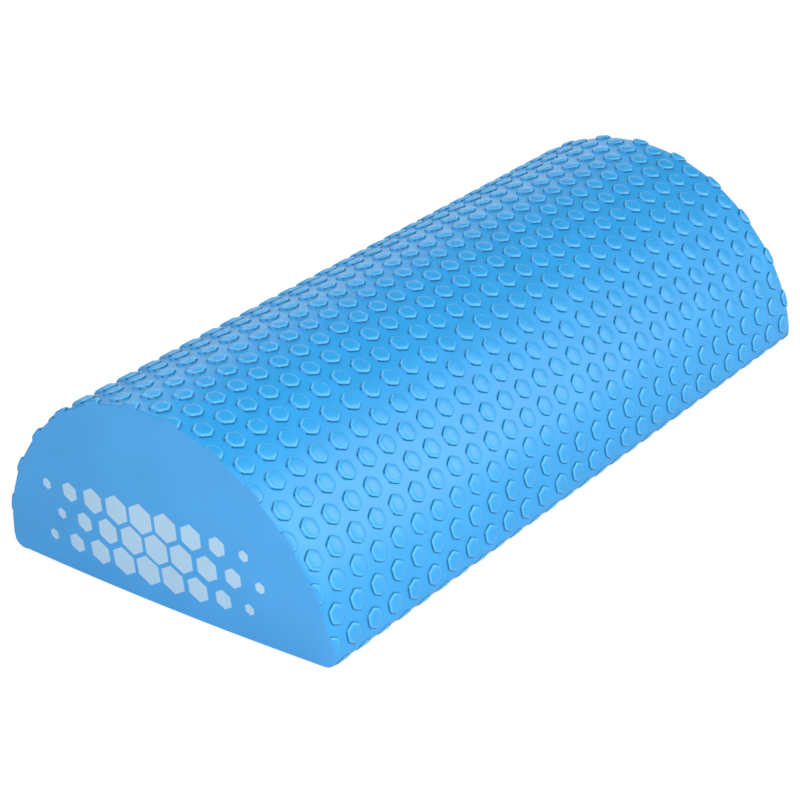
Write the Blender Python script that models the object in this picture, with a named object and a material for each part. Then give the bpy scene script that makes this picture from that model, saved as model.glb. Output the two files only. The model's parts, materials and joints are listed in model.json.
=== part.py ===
"""Half foam roller: a half-round block of closed-cell foam with a studded moulded skin.

The block is cut from a longer moulding, so its two ends show the foam inside the skin
and cut the outermost studs in half.
Frame: X across the width, Y along the length, Z up. The origin lies under the middle
of the flat base, and the end at -Y is the front.
"""
import math

import bmesh
import bpy
from mathutils import Matrix

MM = 0.001

# Overall size, with the studs
LENGTH = 286.0 * MM
DIAMETER = 150.5 * MM

# The long lower edges, rounded between the half circle and the flat base
EDGE_RADIUS = 6.0 * MM

# The moulded layers and the gap that keeps touching layers apart
SKIN_THICKNESS = 3.0 * MM
BASE_THICKNESS = 3.0 * MM
SKIN_LIP = 8.0 * MM
CLEARANCE = 0.3 * MM

# Hexagonal studs: flats across the length, corners towards the crown and the base
STUD_HEIGHT = 1.2 * MM
STUD_ACROSS_FLATS = 6.8 * MM
STUD_PITCH = 10.4 * MM
ROW_PITCH = 9.3 * MM
STUDDED_EDGE_SHARE = 0.15
PLAIN_BORDER = 1.0 * MM

# How finely the plain round stretches are faceted
ARCH_STEPS = 48
EDGE_STEPS = 4
SHARP_ANGLE = math.radians(25.0)
WELD = 0.01 * MM

# Colours in linear light
CUT_FOAM_COLOUR = (0.078, 0.350, 0.730, 1.0)
STUDDED_FOAM_COLOUR = (0.065, 0.400, 0.890, 1.0)
BASE_FOAM_COLOUR = (0.065, 0.370, 0.820, 1.0)
CUT_FOAM_ROUGHNESS = 0.85
MOULDED_FOAM_ROUGHNESS = 0.45
BASE_FOAM_ROUGHNESS = 0.60

FRONT = -LENGTH / 2
BACK = LENGTH / 2
VALLEY_RADIUS = DIAMETER / 2 - STUD_HEIGHT

# The edge's round stretch touches the half circle inside and the base plane below.
# Angles are turned from straight up, and lengths run over the surface from the crown.
EDGE_CENTRE_X = math.sqrt((VALLEY_RADIUS - EDGE_RADIUS) ** 2 - EDGE_RADIUS ** 2)
ARCH_ANGLE = math.pi / 2 - math.asin(EDGE_RADIUS / (VALLEY_RADIUS - EDGE_RADIUS))
ARCH_RUN = VALLEY_RADIUS * ARCH_ANGLE
EDGE_ANGLE = math.pi - ARCH_ANGLE
EDGE_RUN = EDGE_RADIUS * EDGE_ANGLE
FLAT_START = ARCH_RUN + EDGE_RUN


def clear_scene():
    """Remove the objects that Blender starts with."""
    for thing in list(bpy.data.objects):
        bpy.data.objects.remove(thing, do_unlink=True)


def foam_material(name, colour, roughness):
    """A plain foam colour."""
    material = bpy.data.materials.new(name)
    material.use_nodes = True
    shader = material.node_tree.nodes["Principled BSDF"]
    shader.inputs["Base Color"].default_value = colour
    shader.inputs["Roughness"].default_value = roughness
    shader.inputs["Metallic"].default_value = 0.0
    return material


def on_section(run, out):
    """Point (x, z) of the D section, at a signed run from the crown and a height off the surface."""
    side = -1.0 if run < 0.0 else 1.0
    run = abs(run)
    if run <= ARCH_RUN:
        angle = run / VALLEY_RADIUS
        x = (VALLEY_RADIUS + out) * math.sin(angle)
        z = (VALLEY_RADIUS + out) * math.cos(angle)
    elif run <= FLAT_START:
        angle = ARCH_ANGLE + (run - ARCH_RUN) / EDGE_RADIUS
        x = EDGE_CENTRE_X + (EDGE_RADIUS + out) * math.sin(angle)
        z = EDGE_RADIUS + (EDGE_RADIUS + out) * math.cos(angle)
    else:
        x = EDGE_CENTRE_X - (run - FLAT_START)
        z = -out
    return side * x, z


def plain_runs():
    """Runs from the crown to the flat base that facet the plain section evenly."""
    arch = [ARCH_RUN * step / ARCH_STEPS for step in range(ARCH_STEPS + 1)]
    edge = [ARCH_RUN + EDGE_RUN * step / EDGE_STEPS for step in range(1, EDGE_STEPS + 1)]
    return arch + edge


def finish(name, mesh, material, collection):
    """Turn a bmesh into a named object with one material."""
    bmesh.ops.recalc_face_normals(mesh, faces=mesh.faces)
    data = bpy.data.meshes.new(name)
    mesh.to_mesh(data)
    mesh.free()
    data.materials.append(material)
    data.shade_smooth()
    data.set_sharp_from_angle(angle=SHARP_ANGLE)
    thing = bpy.data.objects.new(name, data)
    collection.objects.link(thing)
    return thing


def add_stud_cell(mesh, run, along, pitch, row_step):
    """One hexagonal cell of the sheet: its flanks rise from the shared rim to the stud's top."""
    rim_radius = pitch / math.sqrt(3)
    top_radius = STUD_ACROSS_FLATS / math.sqrt(3)
    stretch = row_step / (1.5 * rim_radius)
    corners_along_x = Matrix.Rotation(math.pi / 2, 4, "Z")
    place = Matrix.Translation((run, along, 0.0)) @ corners_along_x
    rim = bmesh.ops.create_circle(mesh, cap_ends=True, segments=6, radius=rim_radius, matrix=place)["verts"]
    cell = rim[0].link_faces[0]
    top = bmesh.ops.extrude_discrete_faces(mesh, faces=[cell])["faces"][0]
    for vert in rim:
        if vert.is_valid:
            vert.co.x = run + (vert.co.x - run) * stretch
    for vert in top.verts:
        vert.co.x = run + (vert.co.x - run) * top_radius / rim_radius
        vert.co.y = along + (vert.co.y - along) * top_radius / rim_radius
        vert.co.z = STUD_HEIGHT


def add_studs(mesh):
    """Rows of studs on both sides of the crown, staggered by half a pitch from row to row.

    The pitch is eased so that the length is a whole number of half pitches: each end
    then cuts every other row through the middle of a stud. The first row on the +X side
    of the crown is whole at the front end.
    Returns the run of the outermost rim corners.
    """
    half_pitches = max(2, round(2 * LENGTH / STUD_PITCH))
    pitch = 2 * LENGTH / half_pitches
    studded_run = ARCH_RUN + STUDDED_EDGE_SHARE * EDGE_RUN
    rows_per_side = max(1, round(studded_run / ROW_PITCH))
    row_step = studded_run / rows_per_side
    for row in range(-rows_per_side, rows_per_side):
        run = (row + 0.5) * row_step
        half_steps = range((row + 1) % 2, half_pitches + 1, 2)
        for half_step in half_steps:
            add_stud_cell(mesh, run, FRONT + half_step * pitch / 2, pitch, row_step)
    bmesh.ops.remove_doubles(mesh, verts=mesh.verts, dist=WELD)
    for end, outward in ((FRONT, -1.0), (BACK, 1.0)):
        everything = mesh.verts[:] + mesh.edges[:] + mesh.faces[:]
        bmesh.ops.bisect_plane(mesh, geom=everything, dist=WELD, plane_co=(0.0, end, 0.0),
                               plane_no=(0.0, outward, 0.0), clear_outer=True)
    corner_reach = row_step * 2 / 3
    return studded_run - row_step / 2 + corner_reach


def add_border(mesh, side, studs_end):
    """Plain strip from the outermost studs round the lower edge to the lip under the base."""
    inner_run = studs_end - ROW_PITCH
    rim_edges = [edge for edge in mesh.edges if edge.is_boundary
                 and all(side * vert.co.x > inner_run for vert in edge.verts)
                 and abs(edge.verts[0].co.y - edge.verts[1].co.y) > WELD]
    rim_verts = {vert for edge in rim_edges for vert in edge.verts}
    ends = [min(rim_verts, key=lambda vert: vert.co.y), max(rim_verts, key=lambda vert: vert.co.y)]
    border_run = studs_end + PLAIN_BORDER
    corners = [mesh.verts.new((side * border_run, vert.co.y, 0.0)) for vert in ends]
    line = mesh.edges.new(corners)
    ties = [mesh.edges.new((vert, corner)) for vert, corner in zip(ends, corners)]
    bmesh.ops.edgenet_fill(mesh, edges=rim_edges + ties + [line])
    runs = [run for run in plain_runs() if run > border_run + WELD] + [FLAT_START + SKIN_LIP]
    for run in runs:
        strip = bmesh.ops.extrude_edge_only(mesh, edges=[line])["geom"]
        line = next(item for item in strip if isinstance(item, bmesh.types.BMEdge))
        for vert in line.verts:
            vert.co.x = side * run
    return line


def add_inner_face(mesh, outer_lines):
    """The skin's smooth inner face, from lip to lip, and the narrow end face of each lip."""
    half = plain_runs() + [FLAT_START + SKIN_LIP]
    runs = [-run for run in reversed(half)] + half[1:]
    first = [mesh.verts.new((runs[0], end, -SKIN_THICKNESS)) for end in (FRONT, BACK)]
    line = mesh.edges.new(first)
    lines = [line]
    for run in runs[1:]:
        strip = bmesh.ops.extrude_edge_only(mesh, edges=[line])["geom"]
        line = next(item for item in strip if isinstance(item, bmesh.types.BMEdge))
        for vert in line.verts:
            vert.co.x = run
        lines.append(line)
    for outer, inner in zip(outer_lines, (lines[0], lines[-1])):
        bmesh.ops.bridge_loops(mesh, edges=[outer, inner])


def studded_skin(collection):
    """Moulded skin: hexagonal studs outside, smooth inside, lips under the base, open at both ends.

    It is laid out flat as run, length and height off the surface, then bent to the section.
    """
    mesh = bmesh.new()
    studs_end = add_studs(mesh)
    outer_lines = [add_border(mesh, side, studs_end) for side in (-1.0, 1.0)]
    add_inner_face(mesh, outer_lines)
    open_edges = [edge for edge in mesh.edges if edge.is_boundary]
    bmesh.ops.holes_fill(mesh, edges=open_edges, sides=0)
    for vert in mesh.verts:
        x, z = on_section(vert.co.x, vert.co.z)
        vert.co = (x, vert.co.y, z)
    material = foam_material("studded_foam", STUDDED_FOAM_COLOUR, MOULDED_FOAM_ROUGHNESS)
    return finish("studded_skin", mesh, material, collection)


def foam_core(collection):
    """Cut foam inside the skin: the same D section, smaller by the skin, showing at both ends."""
    mesh = bmesh.new()
    inset = SKIN_THICKNESS + CLEARANCE
    base = BASE_THICKNESS + CLEARANCE
    half = plain_runs()
    runs = [-run for run in reversed(half)] + half[1:]
    outline = [on_section(run, -inset) for run in runs]
    corners = [mesh.verts.new((x, FRONT, max(z, base))) for x, z in outline]
    front = mesh.faces.new(corners)
    block = bmesh.ops.extrude_face_region(mesh, geom=[front])["geom"]
    back = [item for item in block if isinstance(item, bmesh.types.BMVert)]
    bmesh.ops.translate(mesh, verts=back, vec=(0.0, LENGTH, 0.0))
    material = foam_material("cut_foam", CUT_FOAM_COLOUR, CUT_FOAM_ROUGHNESS)
    return finish("foam_core", mesh, material, collection)


def base_skin(collection):
    """Smooth flat skin under the core, between the studded skin's lips."""
    mesh = bmesh.new()
    width = 2 * (EDGE_CENTRE_X - SKIN_LIP - CLEARANCE)
    size = Matrix.Diagonal((width, LENGTH, BASE_THICKNESS, 1.0))
    lift = Matrix.Translation((0.0, 0.0, BASE_THICKNESS / 2))
    bmesh.ops.create_cube(mesh, size=1.0, matrix=lift @ size)
    material = foam_material("base_foam", BASE_FOAM_COLOUR, BASE_FOAM_ROUGHNESS)
    return finish("base_skin", mesh, material, collection)


def main():
    """Build the three layers of the roller."""
    clear_scene()
    collection = bpy.data.collections.new("half_foam_roller")
    bpy.context.scene.collection.children.link(collection)
    foam_core(collection)
    studded_skin(collection)
    base_skin(collection)


if __name__ == "__main__":
    main()
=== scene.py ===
"""Looks of the half foam roller: its studded skin, cut foam ends and crowned underside.

Each sheet of foam is modelled lying flat, X over the round side, Y along the roller and
Z out of the surface, and is then wrapped round the section.
"""
import json
import math

import bmesh
import bpy
from bpy.props import FloatProperty, FloatVectorProperty, IntProperty, PointerProperty
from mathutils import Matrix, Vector

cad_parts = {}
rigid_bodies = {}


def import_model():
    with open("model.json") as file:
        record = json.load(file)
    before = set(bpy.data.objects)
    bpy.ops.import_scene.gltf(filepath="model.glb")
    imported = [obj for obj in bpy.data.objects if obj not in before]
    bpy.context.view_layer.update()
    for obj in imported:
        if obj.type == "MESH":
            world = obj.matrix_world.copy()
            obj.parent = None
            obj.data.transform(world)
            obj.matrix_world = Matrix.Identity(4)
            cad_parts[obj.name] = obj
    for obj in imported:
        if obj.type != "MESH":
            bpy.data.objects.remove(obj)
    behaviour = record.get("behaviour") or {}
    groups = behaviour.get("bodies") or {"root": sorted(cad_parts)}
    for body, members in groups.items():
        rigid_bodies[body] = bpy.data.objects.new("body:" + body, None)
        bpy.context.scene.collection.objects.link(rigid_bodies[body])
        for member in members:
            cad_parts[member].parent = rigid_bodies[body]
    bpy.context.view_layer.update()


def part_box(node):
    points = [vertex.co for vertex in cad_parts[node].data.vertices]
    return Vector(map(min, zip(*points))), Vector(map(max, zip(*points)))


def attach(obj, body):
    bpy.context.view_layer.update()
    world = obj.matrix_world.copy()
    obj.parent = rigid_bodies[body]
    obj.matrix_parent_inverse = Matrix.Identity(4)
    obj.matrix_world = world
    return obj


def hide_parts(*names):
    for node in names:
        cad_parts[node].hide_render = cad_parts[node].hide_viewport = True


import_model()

bl_info = {
    "name": "Half Foam Roller",
    "version": (1, 0, 0),
    "blender": (4, 5, 0),
    "location": "View3D > Sidebar > Roller",
    "description": "Builds a half-round foam roller with a studded skin",
    "category": "Add Mesh",
}

MM = 0.001
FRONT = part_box("foam_core")[0][1]
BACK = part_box("foam_core")[1][1]
BODY = "root"

# Names that one step leaves for the next
RISE = "stud_rise"
INNER_ARCH = "inner_arch"
INNER_BASE = "inner_base"
CUT_FOAM = "cut foam"

# How close points must lie to count as one, as cut by a plane and as on a line
WELD = 0.01 * MM
CUT_REACH = 0.001 * MM
ON_LINE = 0.002 * MM

# How finely the section is drawn
ARCH_STEPS = 120
EDGE_STEPS = 24
LIP_STEPS = 8
BASE_STEPS = 48
INNER_STEP = 3.0 * MM
BASE_ROWS = 8
EDGE_CUTS = 5
RIM_STEPS = 3

# Where the side starts to bulge and where it bulges fully, turned from straight up
BULGE_START = math.radians(45.0)
BULGE_END = math.radians(80.0)

# How many sides a stud has, and how many are left over in a row for the end cuts to take
STUD_SIDES = 6
SPARE_STUDS = 2

# A stud from its foot to its top: a narrow groove, a steep wall and a rounded top edge
GUARD_WIDTH = 0.12 * MM
CORNER_CUT = 0.68 * MM
GROOVE_WIDTH = 0.25 * MM
GROOVE_DEPTH = 0.06 * MM
WALL_WIDTH = 0.17 * MM
WALL_SHARE = 0.52
BROW_WIDTH = 0.75 * MM
BROW_SHARE = 0.38
BRIM_WIDTH = 0.6 * MM
BRIM_SHARE = 0.08

# The studs grow lower down the sides: from how far round to how far round, and to what share
SIDE_STUDS_RANGE = (math.radians(35.0), math.radians(75.0))
SIDE_STUDS_SHARE = 0.75

# The outermost row, on the rounded long edge, is lower still
EDGE_STUDS_RANGE = (math.radians(84.5), math.radians(87.5))
EDGE_STUDS_SHARE = 0.42

# How wide the lumps are over which the moulded skin rises and falls
UNEVEN_SIZE = 9.0 * MM

# Painted shade at the foot of each stud, where its groove and steep wall lie in shade: how dark it is, and
# over what shares of its height it comes and goes
FOOT_SHADE = 0.35
FOOT_FADE_IN = (0.0, 0.1)
FOOT_FADE_OUT = (0.42, 0.57)

# Over what shares of a stud's height the painted highlight on the brow comes and goes
BROW_HIGHLIGHT_FADE_IN = (WALL_SHARE - 0.05, WALL_SHARE + 0.1)
BROW_HIGHLIGHT_FADE_OUT = (0.75, 0.95)

# The roughness of the studded skin, which changes from valley to top over this share of the height
VALLEY_ROUGHNESS = 0.42
TOP_ROUGHNESS = 0.38
BROW_ROUGHNESS = 0.5
GLOSS_CHANGE_SHARE = 0.5

# The roughness of the other surfaces
CUT_ROUGHNESS = 0.85
BASE_ROUGHNESS = 0.6
FLOOR_ROUGHNESS = 0.8

# How wide the paler and darker patches are, how far they stray from the colour, and the noise they take
STUDDED_PATCH = 14.0 * MM
CUT_PATCH = 20.0 * MM
BASE_PATCH = 25.0 * MM
MOULDED_PATCH_SHARE = 0.04
CUT_PATCH_SHARE = 0.03
PRINT_PATCH_SHARE = 0.02
NOISE_RANGE = (0.3, 0.7)

# The fine grain of the surfaces: its size, its detail and how strongly it shows
STUDDED_GRAIN = {"size": 0.5 * MM, "detail": 3.0, "strength": 0.15}
CUT_GRAIN = {"size": 0.4 * MM, "detail": 2.0, "strength": 0.2}
BASE_GRAIN = {"size": 0.6 * MM, "detail": 3.0, "strength": 0.2}
GRAIN_DEPTH = 0.05 * MM

# Edges sharper than this stay sharp, and faces turned this squarely to an end are cut foam
SMOOTH_ANGLE = math.radians(50.0)
CUT_FACING = 0.95

# The print on the front end: staggered rows of hexagons
PRINT_MIDDLE = -6.0 * MM
PRINT_FOOT = 13.0 * MM
PRINT_PITCH = 11.5 * MM
PRINT_ROWS = 3
PRINT_HALF_WIDTH = 58.0 * MM
PRINT_SIZE = 5.1 * MM
PRINT_BLUR = 0.08 * MM
PRINT_REACH = 1.0 * MM

# The softboxes, all aimed at one place. Turn is over the floor from +X and rise is above it, in
# degrees. Distance and size are in metres.
AIM = (0.0, 0.0, 0.03)
SIDE_BOX = {"turn": 38.0, "rise": 30.0, "distance": 1.1, "width": 0.35, "height": 0.92}
FRONT_BOX = {"turn": -50.0, "rise": 37.0, "distance": 0.9, "width": 0.55, "height": 0.45}
LEFT_BOX = {"turn": 172.0, "rise": 40.0, "distance": 1.3, "width": 0.7, "height": 0.6}
BACK_BOX = {"turn": 125.0, "rise": 14.0, "distance": 1.4, "width": 1.2, "height": 0.5}

# The camera's place in metres and its turn in degrees, as found from the photograph
CAMERA_PLACE = (0.46019, -0.54883, 0.37102)
CAMERA_TURN = (63.6516, 4.0362, 38.7550)
CAMERA_NEAR = 0.01
FLOOR_SIZE = 8.0

# How the camera sees the floor: mostly as plain white, for the rest as it is lit
GLOW_SHARE = 0.85
FLOOR_GLOW = 1.08

# How far the crown of the back end leans out, and over what length it is bent there
BACK_LEAN = 1.5 * MM
BACK_LEAN_RUN = 40.0 * MM

# The end faces swell from the rim to the middle, ring by ring
END_RING_SHARES = (0.97, 0.9, 0.8, 0.68, 0.55, 0.4, 0.25, 0.1)
END_MIDDLE_HEIGHT = 28.0 * MM


class RollerShape(bpy.types.PropertyGroup):
    """Sizes of the roller and its studs."""

    top_radius: FloatProperty(
        name="Stud top radius",
        description="Radius of the round side over the tops of the studs",
        default=75.0 * MM,
        unit="LENGTH",
    )
    axis_height: FloatProperty(
        name="Axis height",
        description="Height of the round side's axis above the floor",
        default=0.76 * MM,
        unit="LENGTH",
    )
    edge_radius: FloatProperty(
        name="Long edge radius",
        description="Radius of the rounded long lower edges",
        default=4.8 * MM,
        unit="LENGTH",
    )
    side_bulge: FloatProperty(
        name="Side bulge",
        description="How far the lower sides stand out beyond the round of the top",
        default=1.5 * MM,
        unit="LENGTH",
    )
    base_crown: FloatProperty(
        name="Base crown",
        description="How far the middle of the underside lies below its long edges",
        default=1.5 * MM,
        unit="LENGTH",
    )
    lip_run: FloatProperty(
        name="Lip",
        description="How far the studded skin reaches under the base",
        default=8.5 * MM,
        unit="LENGTH",
    )
    skin_thickness: FloatProperty(
        name="Skin thickness",
        description="Thickness of the moulded skin",
        default=2.5 * MM,
        unit="LENGTH",
    )
    rim_radius: FloatProperty(
        name="Rim radius",
        description="Radius of the rim between the skin and the cut ends",
        default=0.7 * MM,
        unit="LENGTH",
    )
    end_swell: FloatProperty(
        name="End swell",
        description="How far the middle of each cut end stands proud of its rim",
        default=0.8 * MM,
        unit="LENGTH",
    )
    stud_height: FloatProperty(
        name="Stud height",
        description="Height of the studs above the valleys",
        default=1.18 * MM,
        unit="LENGTH",
    )
    stud_width: FloatProperty(
        name="Stud width",
        description="Width of a stud across its flats",
        default=6.7 * MM,
        unit="LENGTH",
    )
    stud_pitch: FloatProperty(
        name="Stud pitch",
        description="Distance from stud to stud along a row",
        default=10.4 * MM,
        unit="LENGTH",
    )
    row_pitch: FloatProperty(
        name="Row pitch",
        description="Distance from row to row over the round side",
        default=9.3 * MM,
        unit="LENGTH",
    )
    row_pairs: IntProperty(
        name="Pairs of rows",
        description="How many pairs of staggered rows run over the round side",
        default=13,
    )
    unevenness: FloatProperty(
        name="Unevenness",
        description="How far the moulded skin rises and falls at random",
        default=0.25 * MM,
        unit="LENGTH",
    )


class RollerColours(bpy.types.PropertyGroup):
    """Colours and finishes of the foam."""

    studded_foam: FloatVectorProperty(
        name="Studded foam",
        description="Colour of the moulded, studded skin",
        subtype="COLOR",
        default=(0.031, 0.367, 0.80),
        min=0.0,
        max=1.0,
    )
    # The brow colour is a painted highlight on the rounded top edge of each stud, where the front light is
    # caught
    brow_highlight_colour: FloatVectorProperty(
        name="Stud brow",
        description="Colour of the stretched foam on the rounded top edge of each stud",
        subtype="COLOR",
        default=(0.088, 0.51, 0.92),
        min=0.0,
        max=1.0,
    )
    cut_foam: FloatVectorProperty(
        name="Cut foam",
        description="Colour of the foam at the cut ends",
        subtype="COLOR",
        default=(0.082, 0.422, 0.89),
        min=0.0,
        max=1.0,
    )
    base_foam: FloatVectorProperty(
        name="Base foam",
        description="Colour of the smooth underside",
        subtype="COLOR",
        default=(0.034, 0.365, 0.8),
        min=0.0,
        max=1.0,
    )
    print_ink: FloatVectorProperty(
        name="Print",
        description="Colour of the pale print on the front end",
        subtype="COLOR",
        default=(0.5, 0.74, 0.95),
        min=0.0,
        max=1.0,
    )


class RollerStage(bpy.types.PropertyGroup):
    """Floor, lights and camera."""

    floor_colour: FloatVectorProperty(
        name="Floor",
        description="Colour of the floor",
        subtype="COLOR",
        default=(0.9, 0.9, 0.9),
        min=0.0,
        max=1.0,
    )
    sky_strength: FloatProperty(
        name="Sky",
        description="Strength of the even light from all round",
        default=0.02,
    )
    side_power: FloatProperty(
        name="Side light",
        description="Power of the tall softbox behind on the right",
        default=6.8,
        unit="POWER",
    )
    front_power: FloatProperty(
        name="Front light",
        description="Power of the softbox above the camera",
        default=6.1,
        unit="POWER",
    )
    left_power: FloatProperty(
        name="Left light",
        description="Power of the softbox on the left",
        default=6.25,
        unit="POWER",
    )
    back_power: FloatProperty(
        name="Back light",
        description="Power of the low, wide softbox behind",
        default=3.6,
        unit="POWER",
    )
    focal_length: FloatProperty(
        name="Focal length",
        description="Focal length of the camera in millimetres",
        default=94.96,
    )
    sensor_width: FloatProperty(
        name="Sensor width",
        description="Width of the camera's sensor in millimetres",
        default=36.0,
    )


def deselect_all():
    """Leaves edit mode and selects nothing."""
    if bpy.context.object and bpy.context.object.mode != "OBJECT":
        bpy.ops.object.mode_set(mode="OBJECT")
    bpy.ops.object.select_all(action="DESELECT")


def pick(*pieces):
    """Selects only these pieces and makes the first one active."""
    deselect_all()
    for piece in pieces:
        piece.select_set(True)
    bpy.context.view_layer.objects.active = pieces[0]


def edit(piece, kind="FACE"):
    """Opens one piece in edit mode with nothing selected."""
    pick(piece)
    bpy.ops.object.mode_set(mode="EDIT")
    bpy.ops.mesh.select_mode(type=kind)
    bpy.ops.mesh.select_all(action="DESELECT")


def choose(kind, test):
    """Selects the points, edges or faces of the piece in edit mode that pass a test."""
    bpy.ops.mesh.select_mode(type=kind)
    bpy.ops.mesh.select_all(action="DESELECT")
    mesh = bpy.context.object.data
    shell = bmesh.from_edit_mesh(mesh)
    parts = {"VERT": shell.verts, "EDGE": shell.edges, "FACE": shell.faces}[kind]
    chosen = [part for part in parts if test(part)]
    if not chosen:
        raise RuntimeError(f"nothing to select on {bpy.context.object.name}")
    for part in chosen:
        part.select_set(True)
    bmesh.update_edit_mesh(mesh)


def apply_modifiers(piece):
    """Applies every modifier of a piece."""
    pick(piece)
    for modifier in list(piece.modifiers):
        bpy.ops.object.modifier_apply(modifier=modifier.name)


class Section:
    """The outline seen from the front: an arch, a rounded edge and a crowned underside.

    Angles are turned from straight up, and runs are lengths over the surface.
    """

    def __init__(self, shape):
        self.axis_height = shape.axis_height
        self.arch_radius = shape.top_radius - shape.stud_height
        self.side_bulge = shape.side_bulge
        self.edge_radius = shape.edge_radius
        to_edge = self.arch_radius + shape.side_bulge - shape.edge_radius
        self.base_radius = (to_edge ** 2 + shape.base_crown ** 2) / (2 * shape.base_crown)
        to_base = self.base_radius - shape.edge_radius
        apart = self.base_radius - shape.axis_height
        rise = (apart ** 2 + to_edge ** 2 - to_base ** 2) / (2 * apart)
        reach = math.sqrt(to_edge ** 2 - rise ** 2)
        self.edge_centre = (reach, shape.axis_height + rise)
        self.arch_angle = math.atan2(reach, rise)
        self.base_angle = math.pi - math.asin(reach / to_base)
        self.lip_angle = self.base_angle + shape.lip_run / self.base_radius
        self.edge_run = shape.edge_radius * (self.base_angle - self.arch_angle)
        self.half_run = path_length(self.arch()) + self.edge_run + shape.lip_run
        self.base_run = 2 * self.base_radius * (math.pi - self.lip_angle)

    def arch(self):
        """From the rounded edge up to the crown, bulging a little low on the side."""
        points = []
        for step in range(ARCH_STEPS, -1, -1):
            angle = self.arch_angle * step / ARCH_STEPS
            share = share_between(angle, BULGE_START, BULGE_END)
            radius = self.arch_radius + self.side_bulge * share ** 2 * (3 - 2 * share)
            points.append((radius * math.sin(angle), self.axis_height + radius * math.cos(angle)))
        return points

    def arc(self, centre, radius, start, end, steps):
        """Points along one arc of the section."""
        across, up = centre
        angles = [start + (end - start) * step / steps for step in range(steps + 1)]
        return [(across + radius * math.sin(angle), up + radius * math.cos(angle)) for angle in angles]

    def skin_path(self):
        """From the left lip over the crown to the right lip."""
        lip = self.arc((0.0, self.base_radius), self.base_radius, self.lip_angle, self.base_angle, LIP_STEPS)
        edge = self.arc(self.edge_centre, self.edge_radius, self.base_angle, self.arch_angle, EDGE_STEPS)
        right = lip[:-1] + edge[:-1] + self.arch()
        left = [(-x, z) for x, z in right]
        return left + right[-2::-1]

    def base_path(self):
        """From the right lip along the underside to the left lip."""
        turn = 2 * math.pi - self.lip_angle
        return self.arc((0.0, self.base_radius), self.base_radius, self.lip_angle, turn, BASE_STEPS)


def path_length(path):
    """Length of a line of points."""
    return sum(math.dist(here, there) for here, there in zip(path, path[1:]))


def share_between(value, start, end):
    """How far a value has come from start to end, from 0 to 1."""
    return min(max((value - start) / (end - start), 0.0), 1.0)


def wrap(piece, path):
    """Bends a flat piece round a path of the section."""
    curve = bpy.data.curves.new("section", "CURVE")
    curve.dimensions = "2D"
    line = curve.splines.new("POLY")
    line.points.add(len(path) - 1)
    for point, (x, z) in zip(line.points, path):
        point.co = (x, z, 0.0, 1.0)
    guide = bpy.data.objects.new("section", curve)
    bpy.context.collection.objects.link(guide)
    turn_mesh(piece, -math.pi / 2)
    bend = piece.modifiers.new("Wrap", "CURVE")
    bend.object = guide
    bend.deform_axis = "POS_X"
    apply_modifiers(piece)
    turn_mesh(piece, math.pi / 2)
    bpy.data.objects.remove(guide)
    bpy.data.curves.remove(curve)


def turn_mesh(piece, angle):
    """Turns a piece about the X axis and applies the turn."""
    pick(piece)
    piece.rotation_euler = (angle, 0.0, 0.0)
    bpy.ops.object.transform_apply(location=False, rotation=True, scale=False)


def add_stud_cell(shape):
    """One stud in the middle of its hexagonal share of the valley, with corners to the sides."""
    deselect_all()
    bpy.ops.mesh.primitive_circle_add(
        vertices=STUD_SIDES,
        radius=shape.stud_pitch / math.sqrt(3),
        fill_type="NGON",
        rotation=(0.0, 0.0, math.pi / 2),
    )
    cell = bpy.context.object
    bpy.ops.object.transform_apply(location=False, rotation=True, scale=False)
    regular_row_pitch = shape.stud_pitch * math.sqrt(3) / 2
    edit(cell)
    bpy.ops.mesh.select_all(action="SELECT")
    bpy.ops.transform.resize(value=(shape.row_pitch / regular_row_pitch, 1.0, 1.0))
    bpy.ops.mesh.inset(thickness=(shape.stud_pitch - shape.stud_width) / 2 - GROOVE_WIDTH - GUARD_WIDTH)
    bpy.ops.mesh.bevel(offset=CORNER_CUT, affect="VERTICES", segments=1)
    choose("FACE", lambda face: len(face.verts) == 2 * STUD_SIDES)
    bpy.ops.mesh.inset(thickness=GUARD_WIDTH)
    bpy.ops.mesh.inset(thickness=GROOVE_WIDTH, depth=-GROOVE_DEPTH)
    bpy.ops.mesh.inset(thickness=WALL_WIDTH, depth=GROOVE_DEPTH + WALL_SHARE * shape.stud_height)
    bpy.ops.mesh.inset(thickness=BROW_WIDTH, depth=BROW_SHARE * shape.stud_height)
    bpy.ops.mesh.inset(thickness=BRIM_WIDTH, depth=BRIM_SHARE * shape.stud_height)
    deselect_all()
    return cell


def repeat(piece, count, step):
    """Repeats a piece in a row."""
    row = piece.modifiers.new("Row", "ARRAY")
    row.count = count
    row.use_relative_offset = False
    row.use_constant_offset = True
    row.constant_offset_displace = step
    apply_modifiers(piece)


def move_mesh(piece, step):
    """Moves a piece and applies the move."""
    pick(piece)
    piece.location = step
    bpy.ops.object.transform_apply(location=True, rotation=False, scale=False)


def add_stud_sheet(shape, section):
    """The studs in staggered rows, cut straight at both ends."""
    length = BACK - FRONT
    count = math.ceil(length / shape.stud_pitch) + SPARE_STUDS
    odd_row = add_stud_cell(shape)
    even_row = odd_row.copy()
    even_row.data = odd_row.data.copy()
    bpy.context.collection.objects.link(even_row)
    first_row = section.half_run - (shape.row_pairs - 0.5) * shape.row_pitch
    start = FRONT - shape.stud_pitch
    move_mesh(odd_row, (first_row, start, 0.0))
    move_mesh(even_row, (first_row + shape.row_pitch, start + shape.stud_pitch / 2, 0.0))
    pick(odd_row, even_row)
    bpy.ops.object.join()
    repeat(odd_row, count, (0.0, shape.stud_pitch, 0.0))
    repeat(odd_row, shape.row_pairs, (2 * shape.row_pitch, 0.0, 0.0))
    edit(odd_row)
    bpy.ops.mesh.select_all(action="SELECT")
    bpy.ops.mesh.remove_doubles(threshold=WELD)
    cut_all((0.0, FRONT + shape.rim_radius, 0.0), (0.0, -1.0, 0.0))
    cut_all((0.0, BACK - shape.rim_radius, 0.0), (0.0, 1.0, 0.0))
    deselect_all()
    return odd_row


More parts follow.
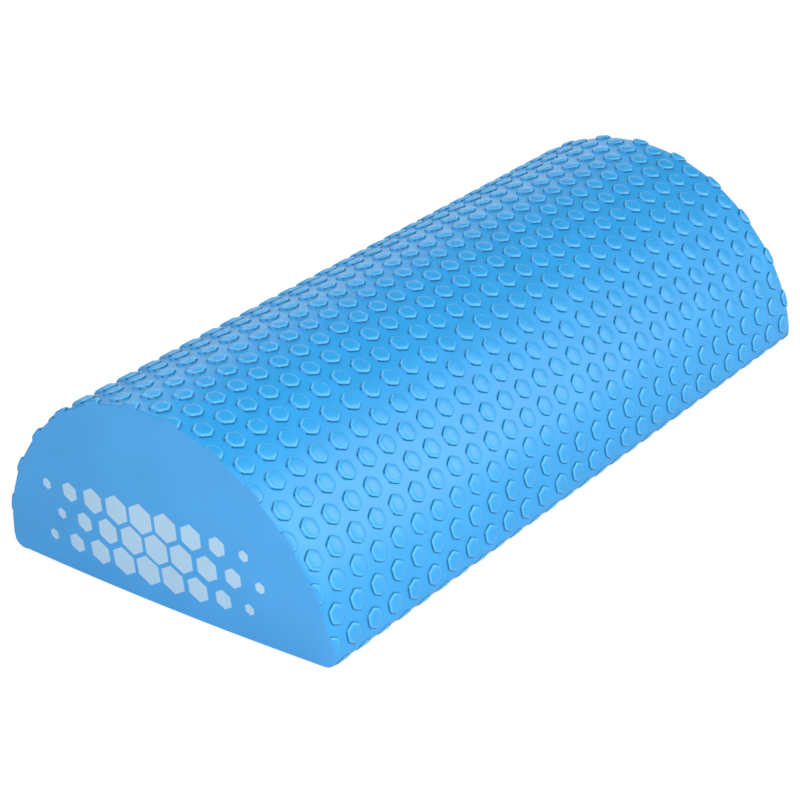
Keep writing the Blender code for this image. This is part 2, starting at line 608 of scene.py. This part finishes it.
def cut_all(place, towards):
    """Cuts the piece in edit mode with a plane and clears what lies beyond it."""
    bpy.ops.mesh.select_all(action="SELECT")
    bpy.ops.mesh.bisect(plane_co=place, plane_no=towards, clear_outer=True, threshold=CUT_REACH)


def reach_lips(sheet, shape, section):
    """Carries the sheet on as plain skin to straight lips, and cuts it finer over the rounded edges."""
    run = 2 * section.half_run
    edit(sheet)
    for place in (0.0, run):
        choose("EDGE", lambda edge: is_long_border(edge, shape, place, section.half_run / 2))
        bpy.ops.mesh.extrude_edges_move()
        bpy.ops.transform.resize(value=(0.0, 1.0, 0.0), center_override=(place, 0.0, 0.0))
    for cut in range(EDGE_CUTS + 1):
        from_lip = shape.lip_run + section.edge_run * cut / EDGE_CUTS
        for place in (from_lip, run - from_lip):
            bpy.ops.mesh.select_all(action="SELECT")
            bpy.ops.mesh.bisect(plane_co=(place, 0.0, 0.0), plane_no=(1.0, 0.0, 0.0), threshold=CUT_REACH)
    deselect_all()


def is_long_border(edge, shape, place, reach):
    """Whether an edge is on the border along the roller, and within reach of a place across it."""
    ends = (FRONT + shape.rim_radius, BACK - shape.rim_radius)
    across = (edge.verts[0].co.x + edge.verts[1].co.x) / 2
    at_end = any(on_line(edge, "y", end) for end in ends)
    return edge.is_boundary and abs(across - place) < reach and not at_end


def on_line(edge, axis, value):
    """Whether both ends of an edge lie at a value along an axis."""
    return all(abs(getattr(vert.co, axis) - value) < ON_LINE for vert in edge.verts)


def mark_rise(sheet, shape):
    """Notes on each point how high up a stud it lies: 0 in the valley and 1 on the top."""
    rise = sheet.data.attributes.new(RISE, "FLOAT", "POINT")
    for vert, note in zip(sheet.data.vertices, rise.data):
        note.value = vert.co.z / shape.stud_height


def lower_side_studs(sheet, section):
    """Makes the studs lower down the sides and lowest on the long edges."""
    for vert in sheet.data.vertices:
        turned = abs(vert.co.x - section.half_run) / section.arch_radius
        vert.co.z *= 1 - (1 - SIDE_STUDS_SHARE) * share_between(turned, *SIDE_STUDS_RANGE)
        vert.co.z *= 1 - (1 - EDGE_STUDS_SHARE) * share_between(turned, *EDGE_STUDS_RANGE)


def make_uneven(sheet, shape):
    """Gives the moulded skin its slight rise and fall."""
    clouds = bpy.data.textures.new("uneven", "CLOUDS")
    clouds.noise_scale = UNEVEN_SIZE
    clouds.noise_depth = 1
    rise = sheet.modifiers.new("Uneven", "DISPLACE")
    rise.texture = clouds
    rise.texture_coords = "LOCAL"
    rise.direction = "Z"
    rise.strength = shape.unevenness
    rise.mid_level = 0.5
    apply_modifiers(sheet)
    bpy.data.textures.remove(clouds)


def close_sheet(sheet, shape):
    """Gives a flat sheet rounded end rims, walls and a plain inner face."""
    edit(sheet, "EDGE")
    for end, way in ((FRONT, -1.0), (BACK, 1.0)):
        line = end - way * shape.rim_radius
        choose("EDGE", lambda edge: edge.is_boundary and on_line(edge, "y", line))
        for step in range(RIM_STEPS):
            now = math.pi / 2 * step / RIM_STEPS
            then = math.pi / 2 * (step + 1) / RIM_STEPS
            out = shape.rim_radius * (math.sin(then) - math.sin(now))
            down = shape.rim_radius * (math.cos(now) - math.cos(then))
            extrude_edges((0.0, way * out, -down))
        extrude_edges((0.0, 0.0, -shape.rim_radius / 2))
    choose("EDGE", lambda edge: edge.is_boundary)
    bpy.ops.mesh.extrude_edges_move()
    inner = -shape.skin_thickness
    bpy.ops.transform.resize(value=(1.0, 1.0, 0.0), center_override=(0.0, 0.0, inner))
    bpy.ops.mesh.remove_doubles(threshold=CUT_REACH)
    choose("EDGE", lambda edge: edge.is_boundary)
    bpy.ops.mesh.edge_face_add()
    run = max(vert.co.x for vert in bmesh.from_edit_mesh(sheet.data).verts)
    cuts = math.ceil(run / INNER_STEP)
    for cut in range(1, cuts):
        choose("FACE", lambda face: is_inner(face, inner))
        place = (run * cut / cuts, 0.0, 0.0)
        bpy.ops.mesh.bisect(plane_co=place, plane_no=(1.0, 0.0, 0.0), threshold=CUT_REACH)
    bpy.ops.mesh.select_all(action="SELECT")
    bpy.ops.mesh.normals_make_consistent(inside=False)
    deselect_all()


def extrude_edges(step):
    """Extrudes the selected edges by a step."""
    bpy.ops.mesh.extrude_edges_move(TRANSFORM_OT_translate={"value": step})


def is_inner(face, inner):
    """Whether a face lies flat on the inner side of a sheet."""
    return all(abs(vert.co.z - inner) < ON_LINE for vert in face.verts)


def copy_inner_face(sheet, shape):
    """A separate copy of a sheet's inner face, for the core to share."""
    edit(sheet)
    choose("FACE", lambda face: is_inner(face, -shape.skin_thickness))
    before = set(bpy.data.objects)
    bpy.ops.mesh.duplicate()
    bpy.ops.mesh.separate(type="SELECTED")
    inner = (set(bpy.data.objects) - before).pop()
    edit(inner)
    choose("VERT", lambda vert: vert.is_boundary and FRONT + ON_LINE < vert.co.y < BACK - ON_LINE)
    bpy.ops.mesh.dissolve_verts()
    deselect_all()
    return inner


def add_base_sheet(shape, section):
    """The flat start of the underside: a plain grid between the lips."""
    deselect_all()
    length = BACK - FRONT - 2 * shape.rim_radius
    bpy.ops.mesh.primitive_grid_add(x_subdivisions=BASE_STEPS, y_subdivisions=BASE_ROWS, size=1.0)
    sheet = bpy.context.object
    sheet.scale = (section.base_run, length, 1.0)
    bpy.ops.object.transform_apply(location=False, rotation=False, scale=True)
    move_mesh(sheet, (section.base_run / 2, (FRONT + BACK) / 2, 0.0))
    return sheet


def lean_back_end(piece, height):
    """Leans the back end out towards the crown, as the foam was not cut square."""
    for vert in piece.data.vertices:
        share = share_between(vert.co.y, BACK - BACK_LEAN_RUN, BACK)
        vert.co.y += BACK_LEAN * share * vert.co.z / height


def finish_piece(piece, name, node, materials):
    """Names a piece, gives it its finishes and ties it to the frame."""
    deselect_all()
    lean_back_end(piece, bpy.context.scene.roller_shape.top_radius)
    piece.name = name
    piece.data.name = name
    piece.data.materials.clear()
    for material in materials:
        piece.data.materials.append(material)
    if len(materials) > 1:
        for face in piece.data.polygons:
            face.material_index = 1 if abs(face.normal.y) > CUT_FACING else 0
    pick(piece)
    bpy.ops.object.shade_smooth_by_angle(angle=SMOOTH_ANGLE)
    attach(piece, BODY)
    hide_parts(node)
    deselect_all()


def fill_end(core, end, way, shape):
    """Closes one end of the core with a face that swells towards its middle."""
    edit(core, "EDGE")
    choose("EDGE", lambda edge: edge.is_boundary and on_line(edge, "y", end))
    bpy.ops.mesh.edge_face_add()
    last_share = 1.0
    last_swell = 0.0
    for share in END_RING_SHARES:
        swell = shape.end_swell * (1 - share ** 2) ** 2
        factor = share / last_share
        bpy.ops.mesh.extrude_region_move()
        bpy.ops.transform.translate(value=(0.0, way * (swell - last_swell), 0.0))
        bpy.ops.transform.resize(
            value=(factor, 1.0, factor),
            center_override=(0.0, 0.0, END_MIDDLE_HEIGHT),
        )
        last_share = share
        last_swell = swell
    bpy.ops.mesh.merge(type="CENTER")
    deselect_all()


def make_material(name, colour, roughness):
    """A material with the name, colour and roughness that it starts from."""
    material = bpy.data.materials.new(name)
    material.use_nodes = True
    material.diffuse_color = (*colour, 1.0)
    shader = material.node_tree.nodes["Principled BSDF"]
    shader.inputs["Base Color"].default_value = (*colour, 1.0)
    shader.inputs["Roughness"].default_value = roughness
    return material, shader


def add_node(material, kind, inputs=None, **settings):
    """Adds a node, sets it up and links what feeds it."""
    node = material.node_tree.nodes.new(kind)
    for name, value in settings.items():
        setattr(node, name, value)
    for socket, value in (inputs or {}).items():
        if isinstance(value, bpy.types.NodeSocket):
            material.node_tree.links.new(value, node.inputs[socket])
        else:
            node.inputs[socket].default_value = value
    return node


def object_place(material):
    """Where on its piece a point lies."""
    return add_node(material, "ShaderNodeTexCoord").outputs["Object"]


def calculate(material, operation, *values):
    """One step of arithmetic on values or on what nodes give."""
    return add_node(material, "ShaderNodeMath", dict(enumerate(values)), operation=operation).outputs[0]


def noise(material, place, size, detail=2.0):
    """Noise whose lumps are about as wide as size."""
    node = add_node(material, "ShaderNodeTexNoise", {"Vector": place, "Scale": 1 / size, "Detail": detail})
    return node.outputs["Fac"]


def blend_colours(material, factor, first, second):
    """Mixes two colours by a factor. The node has sockets for each kind of data, so colours go by number."""
    node = add_node(material, "ShaderNodeMix", data_type="RGBA")
    for socket, value in ((node.inputs[0], factor), (node.inputs[6], first), (node.inputs[7], second)):
        if isinstance(value, bpy.types.NodeSocket):
            material.node_tree.links.new(value, socket)
        else:
            socket.default_value = value
    return node.outputs[2]


def spread(material, value, low, high, to_low, to_high):
    """Maps a value from one range to another."""
    node = add_node(
        material,
        "ShaderNodeMapRange",
        {"Value": value, "From Min": low, "From Max": high, "To Min": to_low, "To Max": to_high},
    )
    return node.outputs["Result"]


def shaded(colour, factor):
    """A colour made lighter or darker."""
    return tuple(min(part * factor, 1.0) for part in colour) + (1.0,)


def mottled(material, place, colour, size, share):
    """A colour in paler and darker patches, about as wide as size and off by a share of it."""
    patches = spread(material, noise(material, place, size), *NOISE_RANGE, 0.0, 1.0)
    return blend_colours(material, patches, shaded(colour, 1 - share), shaded(colour, 1 + share))


def add_grain(material, place, shader, size, detail, strength):
    """Gives a surface its fine grain."""
    grain = noise(material, place, size, detail)
    bump = add_node(
        material,
        "ShaderNodeBump",
        {"Height": grain, "Strength": strength, "Distance": GRAIN_DEPTH},
    )
    material.node_tree.links.new(bump.outputs["Normal"], shader.inputs["Normal"])


def stud_band(material, rise, fade_in, fade_out):
    """Where a band of a stud's height lies: 1 inside it, fading to 0 below and above."""
    come = spread(material, rise, *fade_in, 0.0, 1.0)
    go = spread(material, rise, *fade_out, 1.0, 0.0)
    return calculate(material, "MULTIPLY", come, go)


def studded_foam_material(colours):
    """Satin moulded foam, with painted shade at the foot of each stud and a painted highlight on its brow.
    """
    material, shader = make_material("studded foam", colours.studded_foam, TOP_ROUGHNESS)
    place = object_place(material)
    plain = mottled(material, place, colours.studded_foam, STUDDED_PATCH, MOULDED_PATCH_SHARE)
    rise = add_node(material, "ShaderNodeAttribute", attribute_name=RISE).outputs["Fac"]
    off_valley = calculate(material, "ABSOLUTE", rise)
    foot = stud_band(material, off_valley, FOOT_FADE_IN, FOOT_FADE_OUT)
    # Painted shade: the foot of each stud is darkened where its groove and steep wall lie in shade
    foot_shaded = blend_colours(material, foot, plain, shaded(colours.studded_foam, FOOT_SHADE))
    # Painted highlight: the pale brow colour on the rounded top edge of each stud, where the front light is
    # caught
    brow = stud_band(material, rise, BROW_HIGHLIGHT_FADE_IN, BROW_HIGHLIGHT_FADE_OUT)
    colour = blend_colours(material, brow, foot_shaded, (*colours.brow_highlight_colour, 1.0))
    flat = spread(material, rise, 0.0, GLOSS_CHANGE_SHARE, VALLEY_ROUGHNESS, TOP_ROUGHNESS)
    dulled = calculate(material, "MULTIPLY", brow, BROW_ROUGHNESS)
    roughness = calculate(material, "MAXIMUM", flat, dulled)
    add_grain(material, place, shader, **STUDDED_GRAIN)
    material.node_tree.links.new(colour, shader.inputs["Base Color"])
    material.node_tree.links.new(roughness, shader.inputs["Roughness"])
    return material


def hexagon_row(material, across, height, row_height, shift):
    """Where one row of the print has ink: hexagons that shrink towards both of its ends."""
    along = calculate(material, "SUBTRACT", across, PRINT_MIDDLE + shift)
    beside = calculate(material, "WRAP", along, PRINT_PITCH / 2, -PRINT_PITCH / 2)
    cell = calculate(material, "SUBTRACT", along, beside)
    outwards = calculate(material, "DIVIDE", cell, PRINT_HALF_WIDTH)
    shrink = calculate(material, "MULTIPLY", outwards, outwards)
    size = calculate(material, "MULTIPLY_ADD", shrink, -PRINT_SIZE, PRINT_SIZE)
    above = calculate(material, "SUBTRACT", height, row_height)
    to_side = calculate(material, "ABSOLUTE", beside)
    to_top = calculate(material, "ABSOLUTE", above)
    slant = calculate(material, "MULTIPLY", to_side, 0.5)
    to_slant = calculate(material, "MULTIPLY_ADD", to_top, math.sqrt(3) / 2, slant)
    reach = calculate(material, "MAXIMUM", to_side, to_slant)
    past = calculate(material, "SUBTRACT", reach, size)
    return spread(material, past, -PRINT_BLUR, PRINT_BLUR, 1.0, 0.0)


def print_mask(material, place):
    """Where the front end has ink: staggered rows of hexagons."""
    parts = add_node(material, "ShaderNodeSeparateXYZ", {"Vector": place}).outputs
    mask = None
    for row in range(PRINT_ROWS):
        row_height = PRINT_FOOT + row * PRINT_PITCH * math.sqrt(3) / 2
        shift = PRINT_PITCH / 2 * (row % 2)
        ink = hexagon_row(material, parts["X"], parts["Z"], row_height, shift)
        mask = ink if mask is None else calculate(material, "MAXIMUM", mask, ink)
    in_front = calculate(material, "LESS_THAN", parts["Y"], FRONT + PRINT_REACH)
    return calculate(material, "MULTIPLY", mask, in_front)


def cut_foam_material(colours):
    """Matt cut foam with the faint grain of its closed cells, and a pale print on the front end."""
    material, shader = make_material(CUT_FOAM, colours.cut_foam, CUT_ROUGHNESS)
    place = object_place(material)
    foam = mottled(material, place, colours.cut_foam, CUT_PATCH, CUT_PATCH_SHARE)
    ink = mottled(material, place, colours.print_ink, CUT_PATCH, PRINT_PATCH_SHARE)
    colour = blend_colours(material, print_mask(material, place), foam, ink)
    add_grain(material, place, shader, **CUT_GRAIN)
    material.node_tree.links.new(colour, shader.inputs["Base Color"])
    return material


def base_foam_material(colours):
    """The smooth moulded underside."""
    material, shader = make_material("base foam", colours.base_foam, BASE_ROUGHNESS)
    place = object_place(material)
    colour = mottled(material, place, colours.base_foam, BASE_PATCH, MOULDED_PATCH_SHARE)
    add_grain(material, place, shader, **BASE_GRAIN)
    material.node_tree.links.new(colour, shader.inputs["Base Color"])
    return material


def floor_material(stage):
    """A white floor that the camera sees as the white of the page, with its shadows kept."""
    material, shader = make_material("floor", stage.floor_colour, FLOOR_ROUGHNESS)
    shader.inputs["Specular IOR Level"].default_value = 0.0
    path = add_node(material, "ShaderNodeLightPath")
    glow = add_node(material, "ShaderNodeEmission", {"Color": (1.0, 1.0, 1.0, 1.0), "Strength": FLOOR_GLOW})
    share = calculate(material, "MULTIPLY", path.outputs["Is Camera Ray"], GLOW_SHARE)
    mix = add_node(
        material,
        "ShaderNodeMixShader",
        {0: share, 1: shader.outputs["BSDF"], 2: glow.outputs["Emission"]},
    )
    surface = material.node_tree.nodes["Material Output"].inputs["Surface"]
    material.node_tree.links.new(mix.outputs["Shader"], surface)
    return material


class ROLLER_OT_studded_skin(bpy.types.Operator):
    """Model the moulded skin with its staggered rows of hexagonal studs"""

    bl_idname = "roller.studded_skin"
    bl_label = "Studded Skin"

    def execute(self, context):
        shape = context.scene.roller_shape
        colours = context.scene.roller_colours
        section = Section(shape)
        sheet = add_stud_sheet(shape, section)
        mark_rise(sheet, shape)
        lower_side_studs(sheet, section)
        make_uneven(sheet, shape)
        reach_lips(sheet, shape, section)
        close_sheet(sheet, shape)
        inner = copy_inner_face(sheet, shape)
        inner.name = INNER_ARCH
        wrap(inner, section.skin_path())
        wrap(sheet, section.skin_path())
        materials = (studded_foam_material(colours), cut_foam_material(colours))
        finish_piece(sheet, "studded_skin_foam", "studded_skin", materials)
        return {"FINISHED"}


class ROLLER_OT_base_sheet(bpy.types.Operator):
    """Model the smooth, slightly crowned underside between the lips"""

    bl_idname = "roller.base_sheet"
    bl_label = "Base Sheet"

    def execute(self, context):
        shape = context.scene.roller_shape
        colours = context.scene.roller_colours
        section = Section(shape)
        sheet = add_base_sheet(shape, section)
        close_sheet(sheet, shape)
        inner = copy_inner_face(sheet, shape)
        inner.name = INNER_BASE
        wrap(inner, section.base_path())
        wrap(sheet, section.base_path())
        materials = (base_foam_material(colours), bpy.data.materials[CUT_FOAM])
        finish_piece(sheet, "base_foam_sheet", "base_skin", materials)
        return {"FINISHED"}


class ROLLER_OT_foam_core(bpy.types.Operator):
    """Model the foam inside the skins, which shows at both cut ends"""

    bl_idname = "roller.foam_core"
    bl_label = "Foam Core"

    def execute(self, context):
        shape = context.scene.roller_shape
        core = bpy.data.objects[INNER_ARCH]
        pick(core, bpy.data.objects[INNER_BASE])
        bpy.ops.object.join()
        edit(core)
        bpy.ops.mesh.select_all(action="SELECT")
        bpy.ops.mesh.remove_doubles(threshold=WELD)
        bpy.ops.mesh.normals_make_consistent(inside=False)
        fill_end(core, FRONT, -1.0, shape)
        fill_end(core, BACK, 1.0, shape)
        edit(core)
        bpy.ops.mesh.select_all(action="SELECT")
        bpy.ops.mesh.normals_make_consistent(inside=False)
        finish_piece(core, "core_foam", "foam_core", (bpy.data.materials[CUT_FOAM],))
        return {"FINISHED"}


class ROLLER_OT_stage(bpy.types.Operator):
    """Set up the floor, the soft studio light and the camera"""

    bl_idname = "roller.stage"
    bl_label = "Stage"

    def execute(self, context):
        stage = context.scene.roller_stage
        add_floor(stage)
        add_sky(context.scene, stage)
        add_lamp("side_softbox", stage.side_power, **SIDE_BOX)
        add_lamp("front_softbox", stage.front_power, **FRONT_BOX)
        add_lamp("left_softbox", stage.left_power, **LEFT_BOX)
        add_lamp("back_softbox", stage.back_power, **BACK_BOX)
        add_camera(context.scene, stage)
        context.scene.view_settings.view_transform = "Standard"
        return {"FINISHED"}


def add_floor(stage):
    """A plain floor under the roller."""
    deselect_all()
    bpy.ops.mesh.primitive_plane_add(size=FLOOR_SIZE)
    floor = bpy.context.object
    floor.name = "floor"
    floor.data.materials.append(floor_material(stage))
    deselect_all()


def add_sky(scene, stage):
    """Even light from all round, which the camera sees as the pale white of the far floor."""
    world = bpy.data.worlds.new("studio")
    scene.world = world
    world.use_nodes = True
    nodes = world.node_tree.nodes
    links = world.node_tree.links
    background = nodes["Background"]
    background.inputs["Color"].default_value = (1.0, 1.0, 1.0, 1.0)
    background.inputs["Strength"].default_value = stage.sky_strength
    white = nodes.new("ShaderNodeBackground")
    white.inputs["Strength"].default_value = GLOW_SHARE * FLOOR_GLOW
    white.inputs["Color"].default_value = (1.0, 1.0, 1.0, 1.0)
    path = nodes.new("ShaderNodeLightPath")
    mix = nodes.new("ShaderNodeMixShader")
    links.new(path.outputs["Is Camera Ray"], mix.inputs[0])
    links.new(background.outputs[0], mix.inputs[1])
    links.new(white.outputs[0], mix.inputs[2])
    links.new(mix.outputs[0], nodes["World Output"].inputs["Surface"])


def add_lamp(name, power, turn, rise, distance, width, height):
    """A softbox aimed at the middle of the roller."""
    lamp = bpy.data.lights.new(name, "AREA")
    lamp.shape = "RECTANGLE"
    lamp.energy = power
    lamp.size = width
    lamp.size_y = height
    holder = bpy.data.objects.new(name, lamp)
    bpy.context.collection.objects.link(holder)
    over_floor = distance * math.cos(math.radians(rise))
    away = Vector((
        over_floor * math.cos(math.radians(turn)),
        over_floor * math.sin(math.radians(turn)),
        distance * math.sin(math.radians(rise)),
    ))
    holder.location = Vector(AIM) + away
    holder.rotation_euler = (-away).to_track_quat("-Z", "Y").to_euler()


def add_camera(scene, stage):
    """The camera at the photograph's place."""
    camera = bpy.data.cameras.new("camera")
    camera.lens = stage.focal_length
    camera.sensor_width = stage.sensor_width
    camera.clip_start = CAMERA_NEAR
    holder = bpy.data.objects.new("camera", camera)
    bpy.context.collection.objects.link(holder)
    holder.location = CAMERA_PLACE
    holder.rotation_euler = [math.radians(turn) for turn in CAMERA_TURN]
    scene.camera = holder


class ROLLER_PT_panel(bpy.types.Panel):
    """Lists the steps that build the roller"""

    bl_label = "Half Foam Roller"
    bl_idname = "ROLLER_PT_panel"
    bl_space_type = "VIEW_3D"
    bl_region_type = "UI"
    bl_category = "Roller"

    def draw(self, context):
        for settings in ("roller_shape", "roller_colours", "roller_stage"):
            box = self.layout.box()
            group = getattr(context.scene, settings)
            for name in group.__annotations__:
                box.prop(group, name)
        for step in STEPS:
            self.layout.operator(step.bl_idname)


STEPS = (ROLLER_OT_studded_skin, ROLLER_OT_base_sheet, ROLLER_OT_foam_core, ROLLER_OT_stage)
CLASSES = (RollerShape, RollerColours, RollerStage, *STEPS, ROLLER_PT_panel)


def register():
    for each in CLASSES:
        bpy.utils.register_class(each)
    bpy.types.Scene.roller_shape = PointerProperty(type=RollerShape)
    bpy.types.Scene.roller_colours = PointerProperty(type=RollerColours)
    bpy.types.Scene.roller_stage = PointerProperty(type=RollerStage)


def unregister():
    del bpy.types.Scene.roller_stage
    del bpy.types.Scene.roller_colours
    del bpy.types.Scene.roller_shape
    for each in reversed(CLASSES):
        bpy.utils.unregister_class(each)


def main():
    register()
    bpy.ops.roller.studded_skin()
    bpy.ops.roller.base_sheet()
    bpy.ops.roller.foam_core()
    bpy.ops.roller.stage()


if __name__ == "__main__":
    main()
